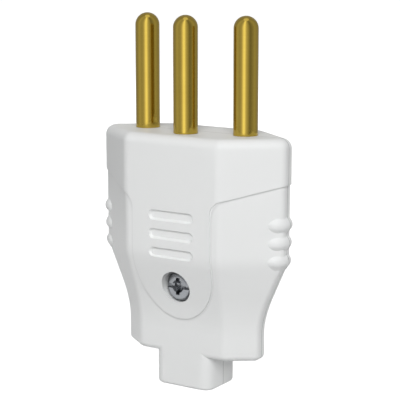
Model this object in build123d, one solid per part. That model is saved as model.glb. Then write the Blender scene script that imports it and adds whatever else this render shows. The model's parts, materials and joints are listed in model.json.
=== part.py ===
from build123d import *
import os
from math import atan2, cos, degrees, sin

# Rewirable mains plug with two live pins and an earth pin.
# Lengths are millimetres. Z runs from the cable end up to the pin tips, X runs along the two live pins,
# and the case screw is on the front, at -Y. The origin is the centre of the cable end.

# Pins, to the standard round-pin pattern
pin_radius = 2.0
pin_reach = 19.0
live_pitch = 19.0
earth_offset = 3.0
pin_groove_radius = 1.8
pin_sink = 0.15
pin_clearance = 0.05

# Turned inner end of a pin
flange_radius = 2.65
flange_thickness = 1.5
flange_gap = 0.05
terminal_radius = 2.35
terminal_length = 11.0
wire_hole_radius = 1.25
wire_hole_depth = 7.0

# Terminal screws, driven from the back
terminal_screw_height = 3.6
terminal_screw_radius = 1.1
terminal_screw_length = 1.5
terminal_head_radius = 1.9
terminal_head_thickness = 1.3
terminal_slot_width = 0.6
terminal_slot_depth = 0.7
terminal_flat_depth = 0.4
thread_clearance = 0.05
seat_clearance = 0.2

# Housing outline, without its raised shield
face_height = 42.6
shoulder_height = 22.6
hollow_height = 14.2
waist_height = 11.0
barrel_bottom = 5.6
body_half_width = 17.3
body_half_depth = 7.35
hollow_half_width = 13.5
barrel_half_width = 12.8
barrel_half_depth = 4.45
end_half_flat = 1.1
face_flat_half_width = 8.9
shoulder_softening = 1.1
hollow_softening = 1.9
waist_softening = 1.0
face_corner_radius = 2.2
end_corner_radius = 1.1
top_edge_radius = 1.6
barrel_edge_radius = 1.0

# Cable neck and the channel for the cable
neck_half_width = 5.45
neck_corner_radius = 1.9
neck_edge_radius = 0.6
neck_root = 1.5
outlet_radius = 3.4
outlet_chamfer = 0.4
channel_radius = 3.6
channel_top = 13.1

# Raised shield: a collar round the top and a tongue down each broad face
shield_step = 0.22
tongue_half_width = 7.45
tongue_tip = 11.9
tongue_round_start = 21.5
collar_edge_at_tongue = 32.2
collar_edge_at_end = 35.1
shield_corner_radius = 2.2

# Shallow finger grooves on each tongue
groove_count = 3
groove_width = 8.6
groove_tall = 1.75
groove_depth = 0.4
groove_draft = 40.0
groove_top_height = 29.5
groove_pitch = 3.1

# Rounded grip ridges on each end
grip_count = 3
grip_stand_out = 0.65
grip_start = 15.3
grip_top_height = 28.75
grip_pitch = 2.95
grip_peak = 1.0
grip_nose_radius = 1.2
grip_recede = 0.1

# Walls and inner ribs
wall = 1.6
face_wall = 3.0
barrel_floor = 1.8
saddle_thickness = 1.6
tab_clearance = 0.08
tab_root = 2.0

# Case screw, its sunk seat and the bosses that meet round it
case_screw_height = 17.5
recess_radius = 2.7
recess_wall = 1.2
recess_floor = 3.6
seat_thickness = 1.6
case_head_radius = 2.5
case_head_thickness = 1.9
case_head_dome = 0.5
case_screw_radius = 1.25
case_screw_bite = 5.0
case_boss_radius = 3.0
blind_end = 0.3
cross_length = 3.0
cross_width = 0.75
cross_depth = 1.1
cross_core_radius = 0.8

# Cord clamp: an arched strap across the cable, held by two screws
clamp_height = 10.1
clamp_tall = 4.0
clamp_half_length = 10.0
clamp_thickness = 1.4
clamp_seat = 0.5
clamp_arch_rise = 1.6
clamp_arch_half_width = 2.8
clamp_arch_foot = 4.4
clamp_screw_spacing = 13.8
clamp_boss_radius = 2.0
clamp_screw_radius = 0.9
clamp_screw_bite = 2.6
clamp_head_radius = 1.7
clamp_head_thickness = 1.0
clamp_slot_width = 0.5
clamp_slot_depth = 0.5

# Worked out from the sizes above
far = 4 * face_height
tiny = 0.1
slant_angle = atan2(body_half_depth - end_half_flat, body_half_width - face_flat_half_width)
slant_turn = 90 - degrees(slant_angle)
cavity_top = face_height - face_wall
cavity_bottom = barrel_bottom + barrel_floor
flange_top = cavity_top - flange_gap
pin_foot = face_height - pin_sink
terminal_top = flange_top - flange_thickness
terminal_bottom = terminal_top - terminal_length
terminal_screw_level = terminal_bottom + terminal_screw_height
terminal_seat = terminal_radius - terminal_flat_depth
saddle_top = terminal_top - flange_gap
saddle_bottom = saddle_top - saddle_thickness
seat_back = recess_floor - seat_thickness
clamp_top = clamp_thickness - clamp_seat
pin_places = {
    "line": (-live_pitch / 2, 0),
    "neutral": (live_pitch / 2, 0),
    "earth": (0, -earth_offset),
}


def along(start, end, height):
    """Point at a height on the straight line from start to end, in a side view."""
    share = (height - start[1]) / (end[1] - start[1])
    return (start[0] + share * (end[0] - start[0]), height)


def turning_points(barrel, body, bottom, top):
    """Corners of one half of a side view, from the barrel's foot up to the head of the body."""
    share = (hollow_half_width - barrel_half_width) / (body_half_width - barrel_half_width)
    hollow = barrel + share * (body - barrel)
    return (barrel, bottom), (barrel, waist_height), (hollow, hollow_height), (body, shoulder_height), (body, top)


def plain_view(barrel, body, bottom, top):
    """Side view with sharp turns, for the cavity."""
    half = make_face(Polyline((0, bottom), *turning_points(barrel, body, bottom, top), (0, top), close=True))
    return half + mirror(half, Plane.YZ)


def soft_view(barrel, body, bottom, top):
    """Side view of the narrow barrel, the hollow taper and the wide body, with its turns softened."""
    foot, waist, hollow, shoulder, head = turning_points(barrel, body, bottom, top)
    turns = (
        (foot, waist, hollow, waist_softening),
        (waist, hollow, shoulder, hollow_softening),
        (hollow, shoulder, head, shoulder_softening),
    )
    outline = []
    reached = foot
    for before, corner, after, softening in turns:
        start = along(before, corner, corner[1] - softening)
        end = along(corner, after, corner[1] + softening)
        outline += [Line(reached, start), Bezier(start, corner, end)]
        reached = end
    outline += [Line(reached, head), Line(head, (0, top)), Line((0, top), (0, bottom)), Line((0, bottom), foot)]
    half = make_face(outline)
    return half + mirror(half, Plane.YZ)


def upright_prism(view, turn):
    """A side view pushed right through, square to its own plane, then turned about Z."""
    return Rot(0, 0, turn) * extrude(Plane.XZ * view, amount=far, both=True)


def slant_distance(half_width):
    """Distance from the axis to the slanted faces that go with this half width."""
    return half_width * sin(slant_angle) + end_half_flat * cos(slant_angle)


def eight_sided(side_view, outset, bottom, top):
    """Housing form with sharp corners, cut to one kind of side view, each wall moved out by outset."""
    width = side_view(barrel_half_width + outset, body_half_width + outset, bottom, top)
    depth = side_view(barrel_half_depth + outset, body_half_depth + outset, bottom, top)
    slant_barrel = slant_distance(barrel_half_width) + outset
    slant_body = slant_distance(body_half_width) + outset
    slant = side_view(slant_barrel, slant_body, bottom, top)
    form = upright_prism(width, 0) & upright_prism(depth, 90)
    return form & upright_prism(slant, slant_turn) & upright_prism(slant, -slant_turn)


def rounded_form(outset, top):
    """Housing form with its corner edges rounded, down to the barrel's bottom."""
    form = eight_sided(soft_view, outset, barrel_bottom, top)
    rising = [edge for edge in form.edges() if edge.bounding_box().size.Z > tiny]
    at_end = 2 * end_half_flat
    face_corners = [edge for edge in rising if abs((edge @ 0.5).Y) > at_end]
    form = fillet(ShapeList(face_corners), face_corner_radius + outset)
    rising = [edge for edge in form.edges() if edge.bounding_box().size.Z > tiny]
    end_corners = [edge for edge in rising if abs((edge @ 0.5).Y) < at_end]
    return fillet(ShapeList(end_corners), end_corner_radius + outset)


def base_form():
    """Housing without its shield, with the barrel's bottom edge rounded."""
    form = rounded_form(0, cavity_top)
    return fillet(form.faces().sort_by(Axis.Z)[0].edges(), barrel_edge_radius)


def shield_outline():
    """Front view of the shield, open to the top: the collar and the rounded tongue."""
    tongue_round = Pos(0, tongue_round_start) * Ellipse(tongue_half_width, tongue_round_start - tongue_tip)
    straight = collar_edge_at_end - tongue_round_start
    tongue = Pos(0, tongue_round_start + straight / 2) * Rectangle(2 * tongue_half_width, straight)
    rise = (collar_edge_at_end - collar_edge_at_tongue) / (body_half_width - tongue_half_width)
    past_end = 2 * body_half_width
    edge_past_end = collar_edge_at_end + rise * (past_end - body_half_width)
    lower_edge = [(tongue_half_width, collar_edge_at_tongue), (past_end, edge_past_end)]
    mirrored_edge = [(-x, z) for x, z in reversed(lower_edge)]
    collar = make_face(Polyline(*lower_edge, (past_end, far), (-past_end, far), *mirrored_edge, close=True))
    shield = tongue_round + tongue + collar
    for side in (-1, 1):
        meeting = (side * tongue_half_width, collar_edge_at_tongue)
        corner = shield.vertices().sort_by_distance(meeting)[0]
        shield = fillet(corner, shield_corner_radius)
    return shield


def shield_form():
    """Raised collar and tongues, as the part of a slightly larger housing inside the shield's outline."""
    form = rounded_form(shield_step, face_height)
    form = fillet(form.faces().sort_by(Axis.Z)[-1].edges(), top_edge_radius)
    return form & extrude(Plane.XZ * shield_outline(), amount=far, both=True)


def neck():
    """Flat-sided cable neck, flush with the barrel's broad faces."""
    section = RectangleRounded(2 * neck_half_width, 2 * barrel_half_depth, neck_corner_radius)
    block = extrude(section, amount=barrel_bottom + neck_root)
    return fillet(block.faces().sort_by(Axis.Z)[0].edges(), neck_edge_radius)


def grip_ridges():
    """Rounded ridges round both ends, each the rim of an upright disc that fades into the slanted faces."""
    face_at_start = (slant_distance(body_half_width) - grip_start * sin(slant_angle)) / cos(slant_angle)
    flank_angle = atan2(grip_peak, grip_pitch / 2)
    ridges = []
    for row in range(grip_count):
        tip = body_half_width + grip_stand_out - grip_recede * row
        start = grip_start - grip_recede * row
        centre = (tip * tip - start * start - face_at_start * face_at_start) / (2 * (tip - start))
        radius = tip - centre
        level = grip_top_height - grip_pitch * row
        peak = radius + grip_nose_radius * (1 / cos(flank_angle) - 1)
        low, high = -grip_pitch / 2, grip_pitch / 2
        valley = peak - grip_peak
        half = make_face(Polyline((0, low), (valley, low), (peak, 0), (valley, high), (0, high), close=True))
        half = fillet(half.vertices().sort_by(Axis.X)[-1], grip_nose_radius)
        disc = revolve(Plane.XZ * half, axis=Axis.Z)
        ridges += [Pos(side * centre, 0, level) * disc for side in (-1, 1)]
    return ridges


def finger_grooves():
    """Shallow pill-shaped cutters with sloping walls, for both broad faces."""
    surface = body_half_depth + shield_step
    pill = SlotOverall(groove_width, groove_tall)
    cutters = []
    for row in range(groove_count):
        level = groove_top_height - groove_pitch * row
        for side in (-1, 1):
            facing_in = Plane(origin=(0, side * surface, level), x_dir=(1, 0, 0), z_dir=(0, -side, 0))
            cutters.append(extrude(facing_in * pill, amount=groove_depth, taper=groove_draft))
    return cutters


def rod(radius, start, end):
    """Cylinder along Z at the origin, from one height to another."""
    return extrude(Pos(0, 0, start) * Circle(radius), amount=end - start)


def cross_rod(radius, place, start, end):
    """Cylinder along Y, at a place given in X and Z, from one Y to another."""
    x, z = place
    return Pos(x, 0, z) * Rot(-90, 0, 0) * rod(radius, start, end)


def box(x_range, y_range, z_range):
    """Block between two values of X, Y and Z."""
    sizes = [high - low for low, high in (x_range, y_range, z_range)]
    middles = [(low + high) / 2 for low, high in (x_range, y_range, z_range)]
    return Pos(*middles) * Box(*sizes)


def case_outside():
    """The whole housing as one solid block, before it is hollowed and split."""
    block = base_form() + shield_form() + neck()
    block += grip_ridges()
    block -= finger_grooves()
    return block


def case_inside():
    """What is hollow: the cavity above and below the pin saddle, and the cable channel."""
    cavity = eight_sided(plain_view, -wall, cavity_bottom, cavity_top)
    cavity -= box((-far, far), (-far, far), (saddle_bottom, saddle_top))
    outlet = rod(outlet_radius, -tiny, cavity_bottom)
    channel = rod(channel_radius, cavity_bottom, channel_top)
    mouth = Pos(0, 0, outlet_chamfer / 2) * Cone(outlet_radius + outlet_chamfer, outlet_radius, outlet_chamfer)
    return cavity + outlet + channel + mouth


def pin_seat(place, radius, bottom, top):
    """Round hole for one pin, open to the parting plane where the pin sits in front of it."""
    x, y = place
    seat = Pos(x, y, 0) * rod(radius, bottom, top)
    if y < 0:
        seat += box((x - radius, x + radius), (y, 0), (bottom, top))
    return seat


def pin_seats():
    """Seats for all pins, through the engagement face and through the saddle."""
    seats = []
    for place in pin_places.values():
        seats.append(pin_seat(place, pin_radius + pin_clearance, pin_foot, face_height + tiny))
        seats.append(pin_seat(place, pin_groove_radius + pin_clearance, saddle_top, pin_foot))
        seats.append(pin_seat(place, terminal_radius + pin_clearance, saddle_bottom - tiny, saddle_top + tiny))
    return seats


def earth_tab(radius, bottom, top):
    """Tab of the rear shell that closes the earth pin's slot, hollowed to the pin."""
    half_width = radius - tab_clearance
    tab = box((-half_width, half_width), (-earth_offset, tab_root), (bottom, top))
    return tab - Pos(0, -earth_offset, 0) * rod(radius, bottom - tiny, top + tiny)


def earth_tabs():
    """Tabs in the engagement face, round the pin and round its groove, and in the saddle."""
    rim_tab = earth_tab(pin_radius + pin_clearance, pin_foot, face_height)
    groove_tab = earth_tab(pin_groove_radius + pin_clearance, cavity_top, pin_foot)
    saddle_tab = earth_tab(terminal_radius + pin_clearance, saddle_bottom, saddle_top)
    return [rim_tab, groove_tab, saddle_tab]


def clamp_places():
    """Places of the two clamp screws, in X and Z."""
    return [(side * clamp_screw_spacing / 2, clamp_height) for side in (-1, 1)]


def front_shell(outside, inside):
    """Front half, with the case screw's sunk seat and the clamp's bosses."""
    front = box((-far, far), (-far, 0), (-far, far))
    shell = (outside - inside - pin_seats()) & front
    case_place = (0, case_screw_height)
    bosses = [cross_rod(recess_radius + recess_wall, case_place, -far, -seat_back)]
    bosses += [cross_rod(clamp_boss_radius, place, -far, -clamp_seat) for place in clamp_places()]
    for boss in bosses:
        shell += boss & outside
    shell -= cross_rod(recess_radius, case_place, -far, -recess_floor)
    shell -= cross_rod(case_screw_radius + seat_clearance, case_place, -far, 0)
    hole_end = clamp_top - clamp_thickness - clamp_screw_bite - blind_end
    for place in clamp_places():
        shell -= cross_rod(clamp_screw_radius + thread_clearance, place, hole_end, 0)
    return shell


def rear_shell(outside, inside):
    """Rear half, with the boss for the case screw and the tabs behind the earth pin."""
    rear = box((-far, far), (0, far), (-far, far))
    shell = (outside - inside - pin_seats()) & rear
    case_place = (0, case_screw_height)
    shell += cross_rod(case_boss_radius, case_place, -seat_back, far) & outside
    shell += earth_tabs()
    hole_end = case_screw_bite - seat_back + blind_end
    return shell - cross_rod(case_screw_radius + thread_clearance, case_place, -far, hole_end)


def pin(place):
    """Turned pin: round-nosed contact, groove for the face wall, locating flange and drilled terminal."""
    tip = face_height + pin_reach
    nose = RadiusArc((0, tip), (pin_radius, tip - pin_radius), pin_radius)
    side = Polyline(
        (pin_radius, tip - pin_radius),
        (pin_radius, pin_foot),
        (pin_groove_radius, pin_foot),
        (pin_groove_radius, flange_top),
        (flange_radius, flange_top),
        (flange_radius, terminal_top),
        (terminal_radius, terminal_top),
        (terminal_radius, terminal_bottom),
        (0, terminal_bottom),
        (0, tip),
    )
    body = revolve(Plane.XZ * make_face(nose + side), axis=Axis.Z)
    body -= rod(wire_hole_radius, terminal_bottom - tiny, terminal_bottom + wire_hole_depth)
    screw_place = (0, terminal_screw_level)
    body -= cross_rod(terminal_screw_radius + thread_clearance, screw_place, 0, far)
    body -= cross_rod(terminal_head_radius + seat_clearance, screw_place, terminal_seat, far)
    return Pos(*place, 0) * body


def slotted_screw(radius, length, head_radius, head_thickness, slot_width, slot_depth):
    """Cheese-head screw along Z, with the underside of its head at the origin and its tip below."""
    screw = rod(radius, -length, 0) + rod(head_radius, 0, head_thickness)
    slot_floor = head_thickness - slot_depth
    half_slot = slot_width / 2
    return screw - box((-far, far), (-half_slot, half_slot), (slot_floor, far))


def terminal_screw(place):
    """Screw that presses the bare wire in one pin's terminal."""
    screw = slotted_screw(
        terminal_screw_radius,
        terminal_screw_length,
        terminal_head_radius,
        terminal_head_thickness,
        terminal_slot_width,
        terminal_slot_depth,
    )
    x, y = place
    return Pos(x, y + terminal_seat, terminal_screw_level) * Rot(-90, 0, 0) * screw


def clamp_screw(place):
    """Screw that holds one end of the cord clamp down on its boss."""
    screw = slotted_screw(
        clamp_screw_radius,
        clamp_thickness + clamp_screw_bite,
        clamp_head_radius,
        clamp_head_thickness,
        clamp_slot_width,
        clamp_slot_depth,
    )
    x, z = place
    return Pos(x, clamp_top, z) * Rot(-90, 0, 0) * screw


def case_screw():
    """Pan-head screw with a cross recess, which pulls the two shells together."""
    side = case_head_thickness - case_head_dome
    dome = TangentArc((0, case_head_thickness), (case_head_radius, side), tangent=(1, 0))
    rest = Polyline((case_head_radius, side), (case_head_radius, 0), (0, 0), (0, case_head_thickness))
    screw = revolve(Plane.XZ * make_face(dome + rest), axis=Axis.Z)
    screw += rod(case_screw_radius, -seat_thickness - case_screw_bite, 0)
    recess_bottom = case_head_thickness - cross_depth
    half_length = cross_length / 2
    half_width = cross_width / 2
    screw -= box((-half_length, half_length), (-half_width, half_width), (recess_bottom, far))
    screw -= box((-half_width, half_width), (-half_length, half_length), (recess_bottom, far))
    screw -= rod(cross_core_radius, recess_bottom, far)
    return Pos(0, -recess_floor, case_screw_height) * Rot(90, 0, 0) * screw


def cord_clamp():
    """Strap with an arch for the cable and a screw hole near each end."""
    flat = -clamp_seat
    arch = flat + clamp_arch_rise
    half_underside = [(clamp_arch_half_width, arch), (clamp_arch_foot, flat), (clamp_half_length, flat)]
    underside = [(-x, y) for x, y in reversed(half_underside)] + half_underside
    upper_side = [(x, y + clamp_thickness) for x, y in reversed(underside)]
    strap = extrude(make_face(Polyline(*underside, *upper_side, close=True)), amount=clamp_tall)
    strap = Pos(0, 0, clamp_height - clamp_tall / 2) * strap
    for place in clamp_places():
        strap -= cross_rod(clamp_screw_radius + seat_clearance, place, -far, far)
    return strap


outside = case_outside()
inside = case_inside()
parts = {
    "front_shell": front_shell(outside, inside),
    "rear_shell": rear_shell(outside, inside),
    "case_screw": case_screw(),
    "cord_clamp": cord_clamp(),
}
for name, place in pin_places.items():
    parts[name + "_pin"] = pin(place)
    parts[name + "_terminal_screw"] = terminal_screw(place)
for side, place in zip(("left", "right"), clamp_places()):
    parts["clamp_screw_" + side] = clamp_screw(place)

os.makedirs("parts", exist_ok=True)
for node, shape in parts.items():
    export_step(shape, f"parts/{node}.step")
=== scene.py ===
"""Dressed scene of a rewirable mains plug with two live pins and an earth pin.

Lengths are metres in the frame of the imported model. +Z runs from the cable end up to the pin tips,
X runs along the two live pins, and the case screw is on the front, at -Y.
"""

from __future__ import annotations

import json
import logging
import math
from dataclasses import dataclass, field
from enum import Enum

import bpy
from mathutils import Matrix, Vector

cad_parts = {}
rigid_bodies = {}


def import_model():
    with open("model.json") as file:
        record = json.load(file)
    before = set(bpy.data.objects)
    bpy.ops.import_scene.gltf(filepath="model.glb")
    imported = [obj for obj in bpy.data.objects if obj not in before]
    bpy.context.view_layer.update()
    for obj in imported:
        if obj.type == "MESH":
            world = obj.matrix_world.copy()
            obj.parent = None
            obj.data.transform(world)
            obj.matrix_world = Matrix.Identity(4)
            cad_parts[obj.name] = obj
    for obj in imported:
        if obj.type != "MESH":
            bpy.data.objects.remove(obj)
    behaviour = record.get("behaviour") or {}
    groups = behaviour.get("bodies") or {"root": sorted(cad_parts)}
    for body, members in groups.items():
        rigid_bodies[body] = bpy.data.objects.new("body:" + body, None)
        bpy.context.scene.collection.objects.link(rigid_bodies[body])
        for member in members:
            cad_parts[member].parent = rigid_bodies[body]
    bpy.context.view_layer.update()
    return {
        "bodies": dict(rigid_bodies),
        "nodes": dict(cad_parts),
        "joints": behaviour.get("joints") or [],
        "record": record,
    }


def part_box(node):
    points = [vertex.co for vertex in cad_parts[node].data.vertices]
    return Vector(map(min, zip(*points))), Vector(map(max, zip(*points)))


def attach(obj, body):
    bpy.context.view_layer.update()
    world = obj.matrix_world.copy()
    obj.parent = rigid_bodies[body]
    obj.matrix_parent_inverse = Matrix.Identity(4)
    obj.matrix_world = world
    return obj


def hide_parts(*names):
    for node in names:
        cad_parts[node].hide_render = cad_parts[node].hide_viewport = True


LOG = logging.getLogger("plug_scene")
MM = 0.001
BODY = "root"
SAME_PLACE = 1e-7
FULL_TURN = 360.0

Value = object  # a number, a colour or a node socket


class Slot(Enum):
    """Material slots that the pieces take their finish from."""

    HOUSING = "housing_white"
    CLAMP = "clamp_white"
    PIN = "pin_brass"
    SCREW = "screw_zinc"


class Drive(Enum):
    """What a screwdriver fits in the head of a screw."""

    CROSS_AND_SLOT = "cross and slot"
    SLOT = "slot"


class Facing(Enum):
    """Direction along Y in which a screw's head faces."""

    FRONT = -1.0
    BACK = 1.0


# ---------------------------------------------------------------- directions, selection and modifiers


def towards(azimuth: float, elevation: float) -> Vector:
    """Gives the direction from the plug to a lamp or camera.

    Args:
        azimuth: Degrees from -Y towards +X.
        elevation: Degrees above the floor.

    Returns:
        The unit vector.
    """
    turn, rise = math.radians(azimuth), math.radians(elevation)
    return Vector((math.sin(turn) * math.cos(rise), -math.cos(turn) * math.cos(rise), math.sin(rise)))


def select_only(piece: bpy.types.Object) -> None:
    """Selects one object alone and makes it the active one.

    Args:
        piece: The object that the next operator acts on.
    """
    bpy.ops.object.select_all(action="DESELECT")
    piece.select_set(True)
    bpy.context.view_layer.objects.active = piece


def apply_modifiers(piece: bpy.types.Object) -> None:
    """Applies every modifier of a piece, in order.

    Args:
        piece: The object whose modifiers become part of its mesh.
    """
    select_only(piece)
    for modifier in list(piece.modifiers):
        bpy.ops.object.modifier_apply(modifier=modifier.name)


def settle_place(piece: bpy.types.Object) -> None:
    """Moves a piece's place, turn and scale into its mesh, so that the object sits at the origin.

    Args:
        piece: The object to settle.
    """
    select_only(piece)
    bpy.ops.object.transform_apply(location=True, rotation=True, scale=True)


def smooth_by_angle(piece: bpy.types.Object, degrees: float) -> None:
    """Shades a piece smooth, apart from edges sharper than an angle.

    Args:
        piece: The object to shade.
        degrees: Largest turn between two faces that still shades as one surface.
    """
    select_only(piece)
    bpy.ops.object.shade_smooth_by_angle(angle=math.radians(degrees))


def combine(piece: bpy.types.Object, other: bpy.types.Object, operation: str) -> None:
    """Cuts one closed mesh out of another, or unites the two, and removes the second object.

    Args:
        piece: The object that is changed.
        other: The closed mesh that is taken away or added.
        operation: Blender's name of the operation.
    """
    change = piece.modifiers.new("combine", "BOOLEAN")
    change.operation = operation
    change.solver = "EXACT"
    change.object = other
    apply_modifiers(piece)
    bpy.data.objects.remove(other, do_unlink=True)


def face_outwards(piece: bpy.types.Object) -> None:
    """Merges doubled points of a mesh and turns its faces outwards.

    Args:
        piece: The object to clean.
    """
    select_only(piece)
    bpy.ops.object.mode_set(mode="EDIT")
    bpy.ops.mesh.select_all(action="SELECT")
    bpy.ops.mesh.remove_doubles(threshold=SAME_PLACE)
    bpy.ops.mesh.normals_make_consistent(inside=False)
    bpy.ops.object.mode_set(mode="OBJECT")


# ---------------------------------------------------------------- node building


@dataclass
class NodeCanvas:
    """A node tree that is filled from left to right."""

    tree: bpy.types.NodeTree
    column: float = -1200.0

    def add(self, kind: str, **settings: object) -> bpy.types.Node:
        """Adds a node.

        Args:
            kind: Blender's name of the node type.
            **settings: Attributes to set on the new node.

        Returns:
            The node.
        """
        node = self.tree.nodes.new(kind)
        node.location = (self.column, 0.0)
        self.column += 180.0
        for name, value in settings.items():
            setattr(node, name, value)
        return node

    def link(self, source: bpy.types.NodeSocket, target: bpy.types.NodeSocket) -> None:
        """Links one socket to another."""
        self.tree.links.new(source, target)

    def math(
        self, operation: str, first: Value, second: Value = 0.0, third: Value = 0.0, clamp: bool = False
    ) -> bpy.types.NodeSocket:
        """Adds a Math node whose inputs are numbers or sockets.

        Args:
            operation: Blender's name of the operation.
            first: Number or socket.
            second: Number or socket.
            third: Number or socket, for an operation that takes three.
            clamp: Whether the result is kept between 0 and 1.

        Returns:
            The result socket.
        """
        node = self.add("ShaderNodeMath", operation=operation, use_clamp=clamp)
        for socket, value in zip(node.inputs, (first, second, third)):
            if isinstance(value, bpy.types.NodeSocket):
                self.link(value, socket)
            else:
                socket.default_value = float(value)
        return node.outputs[0]

    def blend(self, share: Value, first: Value, second: Value) -> bpy.types.NodeSocket:
        """Adds a colour mix.

        Args:
            share: Number or socket from 0, all first, to 1, all second.
            first: Colour or socket.
            second: Colour or socket.

        Returns:
            The mixed colour socket.
        """
        node = self.add("ShaderNodeMix", data_type="RGBA")
        colour_a, colour_b = (socket for socket in node.inputs if socket.type == "RGBA")
        for socket, value in ((node.inputs["Factor"], share), (colour_a, first), (colour_b, second)):
            if isinstance(value, bpy.types.NodeSocket):
                self.link(value, socket)
            elif isinstance(value, (int, float)):
                socket.default_value = float(value)
            else:
                socket.default_value = (*value, 1.0)
        return next(socket for socket in node.outputs if socket.type == "RGBA")


class GroupName(Enum):
    """Names of the shared shader node groups."""

    SKIN = "moulded skin"
    MARKS = "turning marks"


@dataclass(frozen=True)
class SharedGroups:
    """Builds each shared node group once and hands it out."""

    outputs: tuple[tuple[str, str], ...] = (
        ("Colour", "NodeSocketColor"),
        ("Roughness", "NodeSocketFloat"),
        ("Height", "NodeSocketFloat"),
    )

    def _fresh(self, name: GroupName, inputs: list[tuple[str, str, Value]]) -> bpy.types.NodeTree:
        """Makes an empty group with named inputs, which puts out Colour, Roughness and Height.

        Args:
            name: Which group.
            inputs: Name, socket type and starting value of each input.

        Returns:
            The new group.
        """
        group = bpy.data.node_groups.new(name.value, "ShaderNodeTree")
        for label, kind, value in inputs:
            socket = group.interface.new_socket(name=label, in_out="INPUT", socket_type=kind)
            socket.default_value = value
        for label, kind in self.outputs:
            group.interface.new_socket(name=label, in_out="OUTPUT", socket_type=kind)
        return group

    def _put_out(
        self,
        canvas: NodeCanvas,
        values: bpy.types.Node,
        share: bpy.types.NodeSocket,
        height: bpy.types.NodeSocket,
    ) -> None:
        """Ends a group: colour and roughness run from one value to the other by a share.

        Args:
            canvas: The group's canvas.
            values: The group's inputs.
            share: Socket from 0, light and smooth, to 1, deep and dull.
            height: The group's height.
        """
        colour = canvas.blend(share, values.outputs["Light Colour"], values.outputs["Deep Colour"])
        spread = canvas.math("SUBTRACT", values.outputs["Dull"], values.outputs["Smooth"])
        lift = canvas.math("MULTIPLY", spread, share)
        roughness = canvas.math("ADD", values.outputs["Smooth"], lift)
        result = canvas.add("NodeGroupOutput")
        canvas.link(colour, result.inputs["Colour"])
        canvas.link(roughness, result.inputs["Roughness"])
        canvas.link(height, result.inputs["Height"])

    def skin(self) -> bpy.types.NodeTree:
        """Moulded plastic's skin: faint clouding of colour and gloss, and a fine grain.

        Returns:
            A group that puts out Colour, Roughness and Height.
        """
        found = bpy.data.node_groups.get(GroupName.SKIN.value)
        if found:
            return found
        group = self._fresh(
            GroupName.SKIN,
            [
                ("Cloud Scale", "NodeSocketFloat", 90.0),
                ("Grain Scale", "NodeSocketFloat", 2600.0),
                ("Light Colour", "NodeSocketColor", (0.8, 0.8, 0.8, 1.0)),
                ("Deep Colour", "NodeSocketColor", (0.7, 0.7, 0.7, 1.0)),
                ("Smooth", "NodeSocketFloat", 0.3),
                ("Dull", "NodeSocketFloat", 0.4),
            ],
        )
        canvas = NodeCanvas(group)
        values = canvas.add("NodeGroupInput")
        place = canvas.add("ShaderNodeTexCoord")
        cloud = canvas.add("ShaderNodeTexNoise")
        cloud.inputs["Detail"].default_value = 3.0
        grain = canvas.add("ShaderNodeTexNoise")
        grain.inputs["Detail"].default_value = 2.0
        canvas.link(place.outputs["Object"], cloud.inputs["Vector"])
        canvas.link(place.outputs["Object"], grain.inputs["Vector"])
        canvas.link(values.outputs["Cloud Scale"], cloud.inputs["Scale"])
        canvas.link(values.outputs["Grain Scale"], grain.inputs["Scale"])
        self._put_out(canvas, values, cloud.outputs["Fac"], grain.outputs["Fac"])
        return group

    def marks(self) -> bpy.types.NodeTree:
        """Fine rings that a lathe leaves, square to an axis.

        Returns:
            A group that puts out Colour, Roughness and Height.
        """
        found = bpy.data.node_groups.get(GroupName.MARKS.value)
        if found:
            return found
        group = self._fresh(
            GroupName.MARKS,
            [
                ("Axis", "NodeSocketVector", (0.0, 0.0, 1.0)),
                ("Rings", "NodeSocketFloat", 4000.0),
                ("Light Colour", "NodeSocketColor", (0.8, 0.7, 0.4, 1.0)),
                ("Deep Colour", "NodeSocketColor", (0.6, 0.5, 0.3, 1.0)),
                ("Smooth", "NodeSocketFloat", 0.2),
                ("Dull", "NodeSocketFloat", 0.35),
            ],
        )
        canvas = NodeCanvas(group)
        values = canvas.add("NodeGroupInput")
        place = canvas.add("ShaderNodeTexCoord")
        level = canvas.add("ShaderNodeVectorMath", operation="DOT_PRODUCT")
        canvas.link(place.outputs["Object"], level.inputs[0])
        canvas.link(values.outputs["Axis"], level.inputs[1])
        rings = canvas.add("ShaderNodeTexNoise", noise_dimensions="1D")
        rings.inputs["Detail"].default_value = 3.0
        rings.inputs["Roughness"].default_value = 0.7
        canvas.link(level.outputs["Value"], rings.inputs["W"])
        canvas.link(values.outputs["Rings"], rings.inputs["Scale"])
        tarnish = canvas.add("ShaderNodeTexNoise")
        tarnish.inputs["Scale"].default_value = 260.0
        tarnish.inputs["Detail"].default_value = 4.0
        canvas.link(place.outputs["Object"], tarnish.inputs["Vector"])
        mixed = canvas.math("ADD", rings.outputs["Fac"], tarnish.outputs["Fac"])
        share = canvas.math("MULTIPLY", mixed, 0.5, clamp=True)
        self._put_out(canvas, values, share, rings.outputs["Fac"])
        return group


# ---------------------------------------------------------------- finishes


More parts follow.
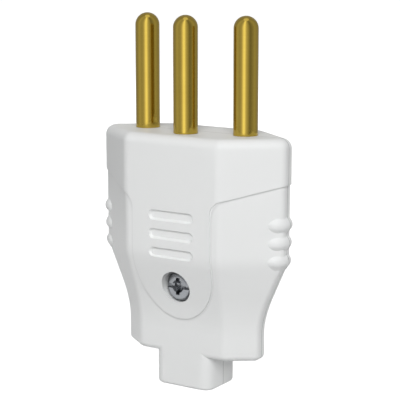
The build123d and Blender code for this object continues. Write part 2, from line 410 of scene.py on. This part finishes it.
@dataclass(frozen=True)
class Finish:
    """A surface finish that is built as one material.

    Its colour and roughness run from light and smooth to deep and dull. The bump is in metres.
    """

    name: str
    light: tuple[float, float, float]
    deep: tuple[float, float, float]
    smooth: float
    dull: float
    bump: float

    def fresh(self) -> tuple[bpy.types.Material, NodeCanvas, bpy.types.Node]:
        """Starts the material.

        Returns:
            The material, its canvas and its Principled shader.
        """
        material = bpy.data.materials.new(self.name)
        material.use_nodes = True
        shader = material.node_tree.nodes["Principled BSDF"]
        return material, NodeCanvas(material.node_tree), shader

    def place_group(self, canvas: NodeCanvas, group: bpy.types.NodeTree) -> bpy.types.Node:
        """Places a shared group with this finish's colours and gloss.

        Args:
            canvas: The material's canvas.
            group: The shared group.

        Returns:
            The group's node.
        """
        node = canvas.add("ShaderNodeGroup", node_tree=group)
        node.inputs["Light Colour"].default_value = (*self.light, 1.0)
        node.inputs["Deep Colour"].default_value = (*self.deep, 1.0)
        node.inputs["Smooth"].default_value = self.smooth
        node.inputs["Dull"].default_value = self.dull
        return node

    def add_bump(
        self, canvas: NodeCanvas, height: bpy.types.NodeSocket, shader: bpy.types.Node, distance: float
    ) -> None:
        """Feeds a height to the shader's normal.

        Args:
            canvas: The material's canvas.
            height: Height socket.
            shader: The Principled shader.
            distance: How many metres a height of 1 stands for.
        """
        bump = canvas.add("ShaderNodeBump")
        bump.inputs["Strength"].default_value = 1.0
        bump.inputs["Distance"].default_value = distance
        canvas.link(height, bump.inputs["Height"])
        canvas.link(bump.outputs["Normal"], shader.inputs["Normal"])


@dataclass(frozen=True)
class MouldedPlastic(Finish):
    """Plain moulded plastic."""

    cloud_scale: float = 90.0
    grain_scale: float = 2600.0

    def material(self, groups: SharedGroups) -> bpy.types.Material:
        """Builds the material.

        Args:
            groups: The shared node groups.

        Returns:
            The material.
        """
        material, canvas, shader = self.fresh()
        skin = self.place_group(canvas, groups.skin())
        skin.inputs["Cloud Scale"].default_value = self.cloud_scale
        skin.inputs["Grain Scale"].default_value = self.grain_scale
        colour, relief = self.detail(canvas, skin.outputs["Colour"])
        grain = canvas.math("MULTIPLY", skin.outputs["Height"], self.bump)
        height = canvas.math("ADD", grain, relief)
        canvas.link(colour, shader.inputs["Base Color"])
        canvas.link(skin.outputs["Roughness"], shader.inputs["Roughness"])
        shader.inputs["IOR"].default_value = 1.5
        self.add_bump(canvas, height, shader, 1.0)
        return material

    def detail(
        self, canvas: NodeCanvas, colour: bpy.types.NodeSocket
    ) -> tuple[bpy.types.NodeSocket, bpy.types.NodeSocket | float]:
        """Adds nothing to plain plastic; a piece with lines or painted shade adds them here.

        Args:
            canvas: The material's canvas.
            colour: The skin's colour.

        Returns:
            The colour, and the relief in metres.
        """
        return colour, 0.0


@dataclass(frozen=True)
class HousingPlastic(MouldedPlastic):
    """The shells' plastic: a parting line, and painted shade along the base of the raised shield.

    The sizes repeat those of the shells, in metres.
    """

    seam_half_width: float = 0.07 * MM
    seam_full: float = 0.4
    seam_depth: float = 0.03 * MM
    seam_shade: float = 0.45
    tongue_half_width: float = 7.45 * MM
    tongue_round_start: float = 21.5 * MM
    tongue_round_height: float = 9.6 * MM
    collar_edge: float = 32.2 * MM
    collar_rise: float = 0.2944
    collar_corner: float = 3.9 * MM
    # Painted shade at the raised shield's step: how far it reaches, and its tone as a share of the deep
    # colour.
    painted_shade_reach: float = 0.5 * MM
    painted_shade_tone: float = 0.9

    def detail(
        self, canvas: NodeCanvas, colour: bpy.types.NodeSocket
    ) -> tuple[bpy.types.NodeSocket, bpy.types.NodeSocket | float]:
        """Adds the shells' parting line and the painted shade at the raised shield's base.

        Args:
            canvas: The material's canvas.
            colour: The skin's colour.

        Returns:
            The colour, and the relief in metres.
        """
        place = canvas.add("ShaderNodeTexCoord")
        axes = canvas.add("ShaderNodeSeparateXYZ")
        canvas.link(place.outputs["Object"], axes.inputs[0])
        aside = canvas.math("ABSOLUTE", axes.outputs["X"])
        off_seam = canvas.math("ABSOLUTE", axes.outputs["Y"])
        seam = self._fade(canvas, off_seam, self.seam_full * self.seam_half_width, self.seam_half_width)
        painted_shade = self._painted_shade_mask(canvas, aside, axes.outputs["Z"])
        # Painted shade: the colour darkens in a band just outside the raised shield's edge, where shade
        # falls at the step.
        colour = canvas.blend(painted_shade, colour, tuple(self.painted_shade_tone * value for value in self.deep))
        colour = canvas.blend(seam, colour, tuple(self.seam_shade * value for value in self.deep))
        return colour, canvas.math("MULTIPLY", seam, -self.seam_depth)

    def _fade(
        self, canvas: NodeCanvas, value: bpy.types.NodeSocket, full: float, none: float
    ) -> bpy.types.NodeSocket:
        """Mask that falls smoothly from 1 at one value to 0 at another.

        Args:
            canvas: The material's canvas.
            value: Socket with the value.
            full: Where the mask is 1.
            none: Where the mask is 0.

        Returns:
            The mask.
        """
        fade = canvas.add("ShaderNodeMapRange", interpolation_type="SMOOTHSTEP")
        low, high = min(full, none), max(full, none)
        fade.inputs["From Min"].default_value = low
        fade.inputs["From Max"].default_value = high
        fade.inputs["To Min"].default_value = 1.0 if full < none else 0.0
        fade.inputs["To Max"].default_value = 0.0 if full < none else 1.0
        canvas.link(value, fade.inputs["Value"])
        return fade.outputs["Result"]

    def _painted_shade_mask(
        self, canvas: NodeCanvas, aside: bpy.types.NodeSocket, level: bpy.types.NodeSocket
    ) -> bpy.types.NodeSocket:
        """Mask of the painted shade, a narrow band at the base of the raised shield.

        Args:
            canvas: The material's canvas.
            aside: Distance from the middle, along X.
            level: Height.

        Returns:
            A socket that is 1 at the shield's edge and fades outwards.
        """
        below = canvas.math("MINIMUM", canvas.math("SUBTRACT", level, self.tongue_round_start), 0.0)
        across = canvas.math("DIVIDE", aside, self.tongue_half_width)
        down = canvas.math("DIVIDE", below, self.tongue_round_height)
        across_squared = canvas.math("MULTIPLY", across, across)
        down_squared = canvas.math("MULTIPLY", down, down)
        reach = canvas.math("SQRT", canvas.math("ADD", across_squared, down_squared))
        outward = canvas.math("SUBTRACT", reach, 1.0)
        from_tongue = canvas.math("MULTIPLY", outward, self.tongue_half_width)
        past_tongue = canvas.math("SUBTRACT", aside, self.tongue_half_width)
        slope = canvas.math("MULTIPLY", past_tongue, self.collar_rise)
        edge = canvas.math("ADD", slope, self.collar_edge)
        from_collar = canvas.math("SUBTRACT", edge, level)
        nearest = canvas.math("SMOOTH_MIN", from_tongue, from_collar, third=self.collar_corner)
        outside = canvas.math("GREATER_THAN", nearest, 0.0)
        return canvas.math("MULTIPLY", self._fade(canvas, nearest, 0.0, self.painted_shade_reach), outside)


@dataclass(frozen=True)
class TurnedMetal(Finish):
    """Metal that was turned on a lathe, with fine rings square to its axis."""

    axis: tuple[float, float, float] = (0.0, 0.0, 1.0)
    rings: float = 4000.0

    def material(self, groups: SharedGroups) -> bpy.types.Material:
        """Builds the material.

        Args:
            groups: The shared node groups.

        Returns:
            The material.
        """
        material, canvas, shader = self.fresh()
        marks = self.place_group(canvas, groups.marks())
        marks.inputs["Axis"].default_value = self.axis
        marks.inputs["Rings"].default_value = self.rings
        shader.inputs["Metallic"].default_value = 1.0
        canvas.link(marks.outputs["Colour"], shader.inputs["Base Color"])
        canvas.link(marks.outputs["Roughness"], shader.inputs["Roughness"])
        self.add_bump(canvas, marks.outputs["Height"], shader, self.bump)
        return material


@dataclass
class FinishSet:
    """Every finish of the plug, each built once."""

    groups: SharedGroups = field(default_factory=SharedGroups)
    made: dict[Slot, bpy.types.Material] = field(default_factory=dict)

    def build(self) -> None:
        """Builds all the materials."""
        finishes = {
            Slot.HOUSING: HousingPlastic(
                "glossy white housing",
                light=(0.865, 0.875, 0.872),
                deep=(0.845, 0.855, 0.852),
                smooth=0.4,
                dull=0.48,
                bump=0.002 * MM,
            ),
            Slot.CLAMP: MouldedPlastic(
                "matt white strap",
                light=(0.8, 0.8, 0.79),
                deep=(0.74, 0.74, 0.73),
                smooth=0.5,
                dull=0.6,
                bump=0.004 * MM,
            ),
            Slot.PIN: TurnedMetal(
                "turned brass",
                light=(0.6, 0.44, 0.085),
                deep=(0.5, 0.35, 0.06),
                smooth=0.11,
                dull=0.18,
                bump=0.002 * MM,
            ),
            Slot.SCREW: TurnedMetal(
                "zinc plate",
                light=(0.32, 0.33, 0.345),
                deep=(0.21, 0.22, 0.235),
                smooth=0.2,
                dull=0.34,
                bump=0.002 * MM,
                axis=(0.0, 1.0, 0.0),
                rings=3000.0,
            ),
        }
        for slot, finish in finishes.items():
            self.made[slot] = finish.material(self.groups)
            LOG.info("finish %s built", finish.name)

    def dress(self, piece: bpy.types.Object, slot: Slot) -> None:
        """Gives a piece its material in every slot.

        Args:
            piece: The object to dress.
            slot: Which finish.
        """
        if not piece.data.materials:
            piece.data.materials.append(self.made[slot])
        for index in range(len(piece.data.materials)):
            piece.data.materials[index] = self.made[slot]


# ---------------------------------------------------------------- sub-assemblies


@dataclass
class Housing:
    """The two moulded shells, which meet at the plane through the live pins."""

    finishes: FinishSet
    nodes: tuple[str, ...] = ("front_shell", "rear_shell")

    def build(self, frame: dict) -> None:
        """Dresses both shells.
        """
        for name in self.nodes:
            self.finishes.dress(frame["nodes"][name], Slot.HOUSING)
            LOG.info("%s dressed", name)


@dataclass
class Contacts:
    """The three turned pins."""

    finishes: FinishSet
    nodes: tuple[str, ...] = ("line_pin", "neutral_pin", "earth_pin")

    def build(self, frame: dict) -> None:
        """Dresses the pins.
        """
        for name in self.nodes:
            self.finishes.dress(frame["nodes"][name], Slot.PIN)
            LOG.info("%s dressed", name)


@dataclass
class CordGrip:
    """The strap that holds the cable."""

    finishes: FinishSet
    node: str = "cord_clamp"

    def build(self, frame: dict) -> None:
        """Dresses the strap.
        """
        self.finishes.dress(frame["nodes"][self.node], Slot.CLAMP)
        LOG.info("%s dressed", self.node)


@dataclass
class Screw:
    """One screw with a rounded head and a real thread.

    It is modelled upright, with the underside of its head at the origin, and then laid on its node.
    The sizes of the core go by the cross's width and depth, those of the ridge by the thread.
    """

    node: str
    drive: Drive
    facing: Facing
    head_height: float
    head_round: float
    shank_radius: float
    root_radius: float
    pitch: float
    slot_width: float
    slot_depth: float
    cross_length: float = 0.0
    cross_width: float = 0.0
    cross_depth: float = 0.0
    cross_taper: float = 0.5
    plain_neck: float = 0.35 * MM
    point: float = 0.3 * MM
    foot_round: float = 0.08 * MM
    overlap: float = 0.1 * MM
    core_tip: float = 0.35
    core_mouth: float = 1.15
    core_depth: float = 1.1
    core_drop: float = 0.54
    ridge_sunk: float = 0.15
    ridge_half_width: float = 0.38
    ridge_start: float = 0.4
    ridge_steps: int = 40
    ridge_kept_back: float = 0.6
    blunt_limit: float = 0.4
    head_sides: int = 64
    rod_sides: int = 48
    core_sides: int = 32
    rim_segments: int = 6
    foot_segments: int = 2
    sharp_angle: float = 32.0

    def build(self, frame: dict, finishes: FinishSet) -> bpy.types.Object:
        """Models the screw and puts it in its node's place.

        Args:
            finishes: Where its material comes from.

        Returns:
            The finished piece.
        """
        low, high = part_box(self.node)
        head = self._head((high.x - low.x) / 2.0)
        shank = self._shank((high.y - low.y) - self.head_height)
        piece = shank[0]
        for part in (*shank[1:], head):
            combine(piece, part, "UNION")
        face_outwards(piece)
        piece.name = f"{self.node}_detailed"
        smooth_by_angle(piece, self.sharp_angle)
        middle = (low + high) / 2.0
        outer = low.y if self.facing is Facing.FRONT else high.y
        seat = outer - self.facing.value * self.head_height
        piece.rotation_euler = (-self.facing.value * math.pi / 2.0, 0.0, 0.0)
        piece.location = (middle.x, seat, middle.z)
        settle_place(piece)
        finishes.dress(piece, Slot.SCREW)
        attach(piece, BODY)
        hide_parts(self.node)
        LOG.info("%s modelled with a %s drive", self.node, self.drive.value)
        return piece

    def _head(self, radius: float) -> bpy.types.Object:
        """Makes the head from a short cylinder with a rounded rim, and cuts its drive.

        Args:
            radius: Radius of the head.

        Returns:
            The head.
        """
        bpy.ops.object.select_all(action="DESELECT")
        bpy.ops.mesh.primitive_cylinder_add(
            vertices=self.head_sides,
            radius=radius,
            depth=self.head_height,
            location=(0.0, 0.0, self.head_height / 2.0),
        )
        head = bpy.context.object
        settle_place(head)
        self._round_rim(head, self.head_height, self.head_round, self.rim_segments)
        self._round_rim(head, 0.0, self.foot_round, self.foot_segments)
        for cutter in self._cutters(radius):
            combine(head, cutter, "DIFFERENCE")
        return head

    def _round_rim(self, piece: bpy.types.Object, level: float, width: float, segments: int) -> None:
        """Rounds the circular edge at one height.

        Args:
            piece: The object to work on.
            level: Height of the edge.
            width: How far the rounding reaches.
            segments: Faces across the rounding.
        """
        select_only(piece)
        bpy.ops.object.mode_set(mode="EDIT")
        bpy.ops.mesh.select_mode(type="EDGE")
        bpy.ops.mesh.select_all(action="DESELECT")
        bpy.ops.object.mode_set(mode="OBJECT")
        points = piece.data.vertices
        for edge in piece.data.edges:
            edge.select = all(abs(points[index].co.z - level) < SAME_PLACE for index in edge.vertices)
        bpy.ops.object.mode_set(mode="EDIT")
        bpy.ops.mesh.bevel(offset=width, segments=segments, profile=0.5)
        bpy.ops.object.mode_set(mode="OBJECT")

    def _cutters(self, radius: float) -> list[bpy.types.Object]:
        """Makes the shapes that cut the drive.

        Args:
            radius: Radius of the head.

        Returns:
            The cutters, at the head's top.
        """
        cutters = [self._blade(3.0 * radius, self.slot_width, self.slot_depth, 1.0, 0.0)]
        if self.drive is Drive.CROSS_AND_SLOT:
            cross = (self.cross_length, self.cross_width, self.cross_depth, self.cross_taper)
            cutters += [self._blade(*cross, quarter) for quarter in (0.0, math.pi / 2.0)]
            cutters.append(self._core())
        return cutters

    def _blade(
        self, length: float, width: float, depth: float, taper: float, turn: float
    ) -> bpy.types.Object:
        """Makes one blade of a drive, which narrows downwards.

        Args:
            length: Length at the head's top.
            width: Width at the head's top.
            depth: How deep it goes.
            taper: Length at the bottom, as a share of that at the top.
            turn: Angle about the screw's axis.

        Returns:
            The cutter.
        """
        bpy.ops.object.select_all(action="DESELECT")
        bpy.ops.mesh.primitive_cube_add(size=1.0, location=(0.0, 0.0, self.head_height))
        blade = bpy.context.object
        blade.scale = (length, width, 2.0 * depth)
        blade.rotation_euler = (0.0, 0.0, turn)
        settle_place(blade)
        bpy.ops.object.mode_set(mode="EDIT")
        bpy.ops.mesh.select_mode(type="VERT")
        bpy.ops.mesh.select_all(action="DESELECT")
        bpy.ops.object.mode_set(mode="OBJECT")
        for point in blade.data.vertices:
            point.select = point.co.z < self.head_height
        bpy.ops.object.mode_set(mode="EDIT")
        bottom = (0.0, 0.0, self.head_height - depth)
        bpy.ops.transform.resize(value=(taper, taper, 1.0), center_override=bottom)
        bpy.ops.object.mode_set(mode="OBJECT")
        return blade

    def _core(self) -> bpy.types.Object:
        """Makes the tapered middle of a cross recess, which goes deepest.

        Returns:
            The cutter.
        """
        bpy.ops.object.select_all(action="DESELECT")
        bpy.ops.mesh.primitive_cone_add(
            vertices=self.core_sides,
            radius1=self.core_tip * self.cross_width,
            radius2=self.core_mouth * self.cross_width,
            depth=self.core_depth * self.cross_depth,
            location=(0.0, 0.0, self.head_height - self.core_drop * self.cross_depth),
        )
        core = bpy.context.object
        settle_place(core)
        return core

    def _shank(self, length: float) -> list[bpy.types.Object]:
        """Makes the core of the shank and the helical ridge of its thread.

        Args:
            length: Distance from the underside of the head to the tip.

        Returns:
            The core, its neck and the ridge.
        """
        ridge_height = self.shank_radius - self.root_radius
        core = self._rod(self.root_radius, length, min(self.point, self.blunt_limit * self.root_radius))
        neck = self._rod(self.shank_radius, self.plain_neck, ridge_height / 2.0)
        return [core, neck, self._ridge(length)]

    def _rod(self, radius: float, length: float, tip: float) -> bpy.types.Object:
        """Makes a round rod that hangs from the head, with its lower rim cut off.

        Args:
            radius: Radius of the rod.
            length: Distance from the underside of the head to its end.
            tip: How far the cut at the rim reaches.

        Returns:
            The rod.
        """
        bpy.ops.object.select_all(action="DESELECT")
        bpy.ops.mesh.primitive_cylinder_add(
            vertices=self.rod_sides,
            radius=radius,
            depth=length + self.overlap,
            location=(0.0, 0.0, (self.overlap - length) / 2.0),
        )
        rod = bpy.context.object
        settle_place(rod)
        self._round_rim(rod, -length, tip, 1)
        return rod

    def _ridge(self, length: float) -> bpy.types.Object:
        """Winds the thread's ridge with a screw modifier.

        Args:
            length: Distance from the underside of the head to the tip.

        Returns:
            The ridge, closed at both ends.
        """
        threaded = length - self.plain_neck - self.point
        turns = max(1, int(threaded / self.pitch - self.ridge_kept_back))
        middle = self.root_radius - self.ridge_sunk * (self.shank_radius - self.root_radius)
        bpy.ops.object.select_all(action="DESELECT")
        bpy.ops.mesh.primitive_circle_add(vertices=4, radius=1.0, rotation=(math.pi / 2.0, 0.0, 0.0))
        ridge = bpy.context.object
        ridge.scale = (self.shank_radius - middle, self.ridge_half_width * self.pitch, 1.0)
        ridge.location = (middle, 0.0, -self.plain_neck - self.ridge_start * self.pitch)
        settle_place(ridge)
        winding = ridge.modifiers.new("winding", "SCREW")
        winding.angle = 2.0 * math.pi
        winding.iterations = turns
        winding.screw_offset = -self.pitch
        winding.steps = winding.render_steps = self.ridge_steps
        winding.use_smooth_shade = False
        apply_modifiers(ridge)
        bpy.ops.object.mode_set(mode="EDIT")
        bpy.ops.mesh.select_all(action="SELECT")
        bpy.ops.mesh.fill_holes(sides=4)
        bpy.ops.object.mode_set(mode="OBJECT")
        face_outwards(ridge)
        return ridge


@dataclass
class Fasteners:
    """All six screws."""

    finishes: FinishSet
    terminal_nodes: tuple[str, ...] = (
        "line_terminal_screw",
        "neutral_terminal_screw",
        "earth_terminal_screw",
    )
    clamp_nodes: tuple[str, ...] = ("clamp_screw_left", "clamp_screw_right")

    def build(self, frame: dict) -> None:
        """Models the screws.
        """
        for screw in (self._case_screw(), *self._terminal_screws(), *self._clamp_screws()):
            screw.build(frame, self.finishes)

    def _case_screw(self) -> Screw:
        """Gives the screw that is seen on the front."""
        return Screw(
            "case_screw",
            Drive.CROSS_AND_SLOT,
            Facing.FRONT,
            head_height=1.9 * MM,
            head_round=0.95 * MM,
            shank_radius=1.25 * MM,
            root_radius=0.95 * MM,
            pitch=0.9 * MM,
            slot_width=0.75 * MM,
            slot_depth=0.8 * MM,
            cross_length=3.8 * MM,
            cross_width=0.95 * MM,
            cross_depth=1.15 * MM,
        )

    def _terminal_screws(self) -> list[Screw]:
        """Gives the three screws that press the bare wires."""
        return [
            Screw(
                node,
                Drive.SLOT,
                Facing.BACK,
                head_height=1.3 * MM,
                head_round=0.25 * MM,
                shank_radius=1.1 * MM,
                root_radius=0.88 * MM,
                pitch=0.45 * MM,
                slot_width=0.6 * MM,
                slot_depth=0.7 * MM,
                plain_neck=0.15 * MM,
                point=0.15 * MM,
            )
            for node in self.terminal_nodes
        ]

    def _clamp_screws(self) -> list[Screw]:
        """Gives the two screws of the cord clamp."""
        return [
            Screw(
                node,
                Drive.SLOT,
                Facing.BACK,
                head_height=1.0 * MM,
                head_round=0.35 * MM,
                shank_radius=0.9 * MM,
                root_radius=0.68 * MM,
                pitch=0.65 * MM,
                slot_width=0.5 * MM,
                slot_depth=0.5 * MM,
            )
            for node in self.clamp_nodes
        ]


# ---------------------------------------------------------------- studio


@dataclass
class Viewpoint:
    """The camera, at the photograph's viewing angle."""

    azimuth: float = 32.764
    elevation: float = 10.615
    distance: float = 233.042 * MM
    aim: tuple[float, float, float] = (0.587 * MM, 0.377 * MM, 31.05 * MM)
    focal_length: float = 126.9
    sensor: float = 36.0

    def build(self) -> bpy.types.Object:
        """Makes the camera and gives it to the scene.

        Returns:
            The camera.
        """
        away = towards(self.azimuth, self.elevation)
        data = bpy.data.cameras.new("photograph view")
        data.lens = self.focal_length
        data.sensor_width = self.sensor
        data.clip_start = 10.0 * MM
        data.clip_end = 20.0
        camera = bpy.data.objects.new("photograph_view", data)
        bpy.context.scene.collection.objects.link(camera)
        camera.location = Vector(self.aim) + away * self.distance
        camera.rotation_euler = away.to_track_quat("Z", "Y").to_euler()
        bpy.context.scene.camera = camera
        return camera


@dataclass
class Tent:
    """Light tent's wall, which only mirror rays see: it gives the brass its bright and dark bands.

    Each band is an azimuth in degrees, from -Y towards +X, and the brightness that shows there.
    """

    radius: float = 170.0 * MM
    height: float = 600.0 * MM
    strength: float = 1.6
    bands: tuple[tuple[float, float], ...] = (
        (-90.0, 0.22),
        (-79.0, 0.23),
        (-51.0, 0.38),
        (-27.0, 0.30),
        (-8.0, 0.36),
        (4.0, 0.66),
        (13.0, 1.00),
        (24.0, 1.00),
        (36.0, 0.50),
        (52.0, 0.32),
        (70.0, 0.14),
        (93.0, 0.22),
        (117.0, 0.32),
        (145.0, 0.22),
        (212.0, 0.27),
        (270.0, 0.22),
    )

    def build(self) -> bpy.types.Object:
        """Makes the wall.

        Returns:
            The wall.
        """
        bpy.ops.mesh.primitive_cylinder_add(
            vertices=96,
            radius=self.radius,
            depth=self.height,
            end_fill_type="NOTHING",
            location=(0.0, 0.0, self.height / 2.0),
        )
        wall = bpy.context.object
        wall.name = "light_tent"
        for kind in ("camera", "diffuse", "shadow", "transmission", "volume_scatter"):
            setattr(wall, f"visible_{kind}", False)
        wall.data.materials.append(self._glow())
        return wall

    def _glow(self) -> bpy.types.Material:
        """Builds the wall's glowing material.

        Returns:
            The material.
        """
        material = bpy.data.materials.new("tent glow")
        material.use_nodes = True
        material.node_tree.nodes.clear()
        canvas = NodeCanvas(material.node_tree)
        coordinates = canvas.add("ShaderNodeTexCoord")
        around = canvas.add("ShaderNodeTexGradient", gradient_type="RADIAL")
        canvas.link(coordinates.outputs["Object"], around.inputs["Vector"])
        ramp = canvas.add("ShaderNodeValToRGB")
        canvas.link(around.outputs["Fac"], ramp.inputs["Fac"])
        stops = ramp.color_ramp.elements
        places = [(azimuth - self.bands[0][0]) / FULL_TURN for azimuth, _ in self.bands]
        for place in places[1:-1]:
            stops.new(place)
        for stop, place, (_, brightness) in zip(stops, places, self.bands):
            stop.position = place
            stop.color = (brightness, brightness, brightness, 1.0)
        glow = canvas.add("ShaderNodeEmission")
        glow.inputs["Strength"].default_value = self.strength
        canvas.link(ramp.outputs["Color"], glow.inputs["Color"])
        result = canvas.add("ShaderNodeOutputMaterial")
        canvas.link(glow.outputs["Emission"], result.inputs["Surface"])
        return material


@dataclass
class SoftLamp:
    """A square soft box that faces the plug."""

    name: str
    azimuth: float
    elevation: float
    power: float
    distance: float = 500.0 * MM
    size: float = 300.0 * MM
    aim: tuple[float, float, float] = (0.0, 0.0, 30.0 * MM)

    def build(self) -> bpy.types.Object:
        """Makes the lamp.

        Returns:
            The lamp.
        """
        away = towards(self.azimuth, self.elevation)
        data = bpy.data.lights.new(self.name, "AREA")
        data.shape = "SQUARE"
        data.size = self.size
        data.energy = self.power
        lamp = bpy.data.objects.new(self.name, data)
        bpy.context.scene.collection.objects.link(lamp)
        lamp.location = Vector(self.aim) + away * self.distance
        lamp.rotation_euler = away.to_track_quat("Z", "Y").to_euler()
        lamp.visible_glossy = False
        return lamp


@dataclass
class Studio:
    """Pale floor, white surroundings and soft lamps."""

    floor_half_size: float = 6.0
    floor_colour: tuple[float, float, float] = (0.5, 0.5, 0.5)
    floor_lift: float = 0.92
    ambient: float = 0.06
    lamps: tuple[SoftLamp, ...] = (
        SoftLamp("key soft box", azimuth=30.0, elevation=35.0, power=2.12),
        SoftLamp("left fill", azimuth=-50.0, elevation=28.0, power=0.2),
        SoftLamp("back left fill", azimuth=-130.0, elevation=30.0, power=0.5),
        SoftLamp("back fill", azimuth=175.0, elevation=8.0, power=1.3),
        SoftLamp("back right fill", azimuth=115.0, elevation=30.0, power=0.2),
    )

    def build(self) -> None:
        """Builds the floor, the world and the lamps."""
        self._floor()
        self._world()
        Tent().build()
        for lamp in self.lamps:
            lamp.build()
        LOG.info("studio built with %d lamps", len(self.lamps))

    def _seen_straight(self, canvas: NodeCanvas) -> bpy.types.NodeSocket:
        """Mask of the rays that show the surroundings: camera, mirror and glass.

        Args:
            canvas: The tree to add it to.

        Returns:
            A socket that is 1 for those rays and 0 for light.
        """
        path = canvas.add("ShaderNodeLightPath")
        glossy = canvas.math("MAXIMUM", path.outputs["Is Camera Ray"], path.outputs["Is Glossy Ray"])
        return canvas.math("MAXIMUM", glossy, path.outputs["Is Transmission Ray"])

    def _floor(self) -> None:
        """Makes the floor under the plug's cable end."""
        bpy.ops.mesh.primitive_plane_add(size=2.0 * self.floor_half_size, location=(0.0, 0.0, 0.0))
        floor = bpy.context.object
        floor.name = "floor"
        material = bpy.data.materials.new("pale floor")
        material.use_nodes = True
        canvas = NodeCanvas(material.node_tree)
        shader = material.node_tree.nodes["Principled BSDF"]
        shader.inputs["Base Color"].default_value = (*self.floor_colour, 1.0)
        shader.inputs["Roughness"].default_value = 0.9
        shader.inputs["Emission Color"].default_value = (1.0, 1.0, 1.0, 1.0)
        lift = canvas.math("MULTIPLY", self._seen_straight(canvas), self.floor_lift)
        canvas.link(lift, shader.inputs["Emission Strength"])
        floor.data.materials.append(material)

    def _world(self) -> None:
        """Makes the white world, which lights the plug softly."""
        world = bpy.data.worlds.new("white surroundings")
        world.use_nodes = True
        bpy.context.scene.world = world
        canvas = NodeCanvas(world.node_tree)
        background = world.node_tree.nodes["Background"]
        background.inputs["Color"].default_value = (1.0, 1.0, 1.0, 1.0)
        shown = canvas.math("MULTIPLY", self._seen_straight(canvas), 1.0 - self.ambient)
        strength = canvas.math("ADD", shown, self.ambient)
        canvas.link(strength, background.inputs["Strength"])


# ---------------------------------------------------------------- assembly


def main() -> None:
    """Builds the whole scene."""
    logging.basicConfig(level=logging.INFO, format="%(name)s: %(message)s")
    bpy.ops.object.select_all(action="SELECT")
    bpy.ops.object.delete()
    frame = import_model()
    bpy.context.scene.view_settings.view_transform = "Standard"
    finishes = FinishSet()
    finishes.build()
    for assembly in (Housing(finishes), Contacts(finishes), CordGrip(finishes), Fasteners(finishes)):
        assembly.build(frame)
    Studio().build()
    Viewpoint().build()
    LOG.info("plug scene complete")


if __name__ == "__main__":
    main()
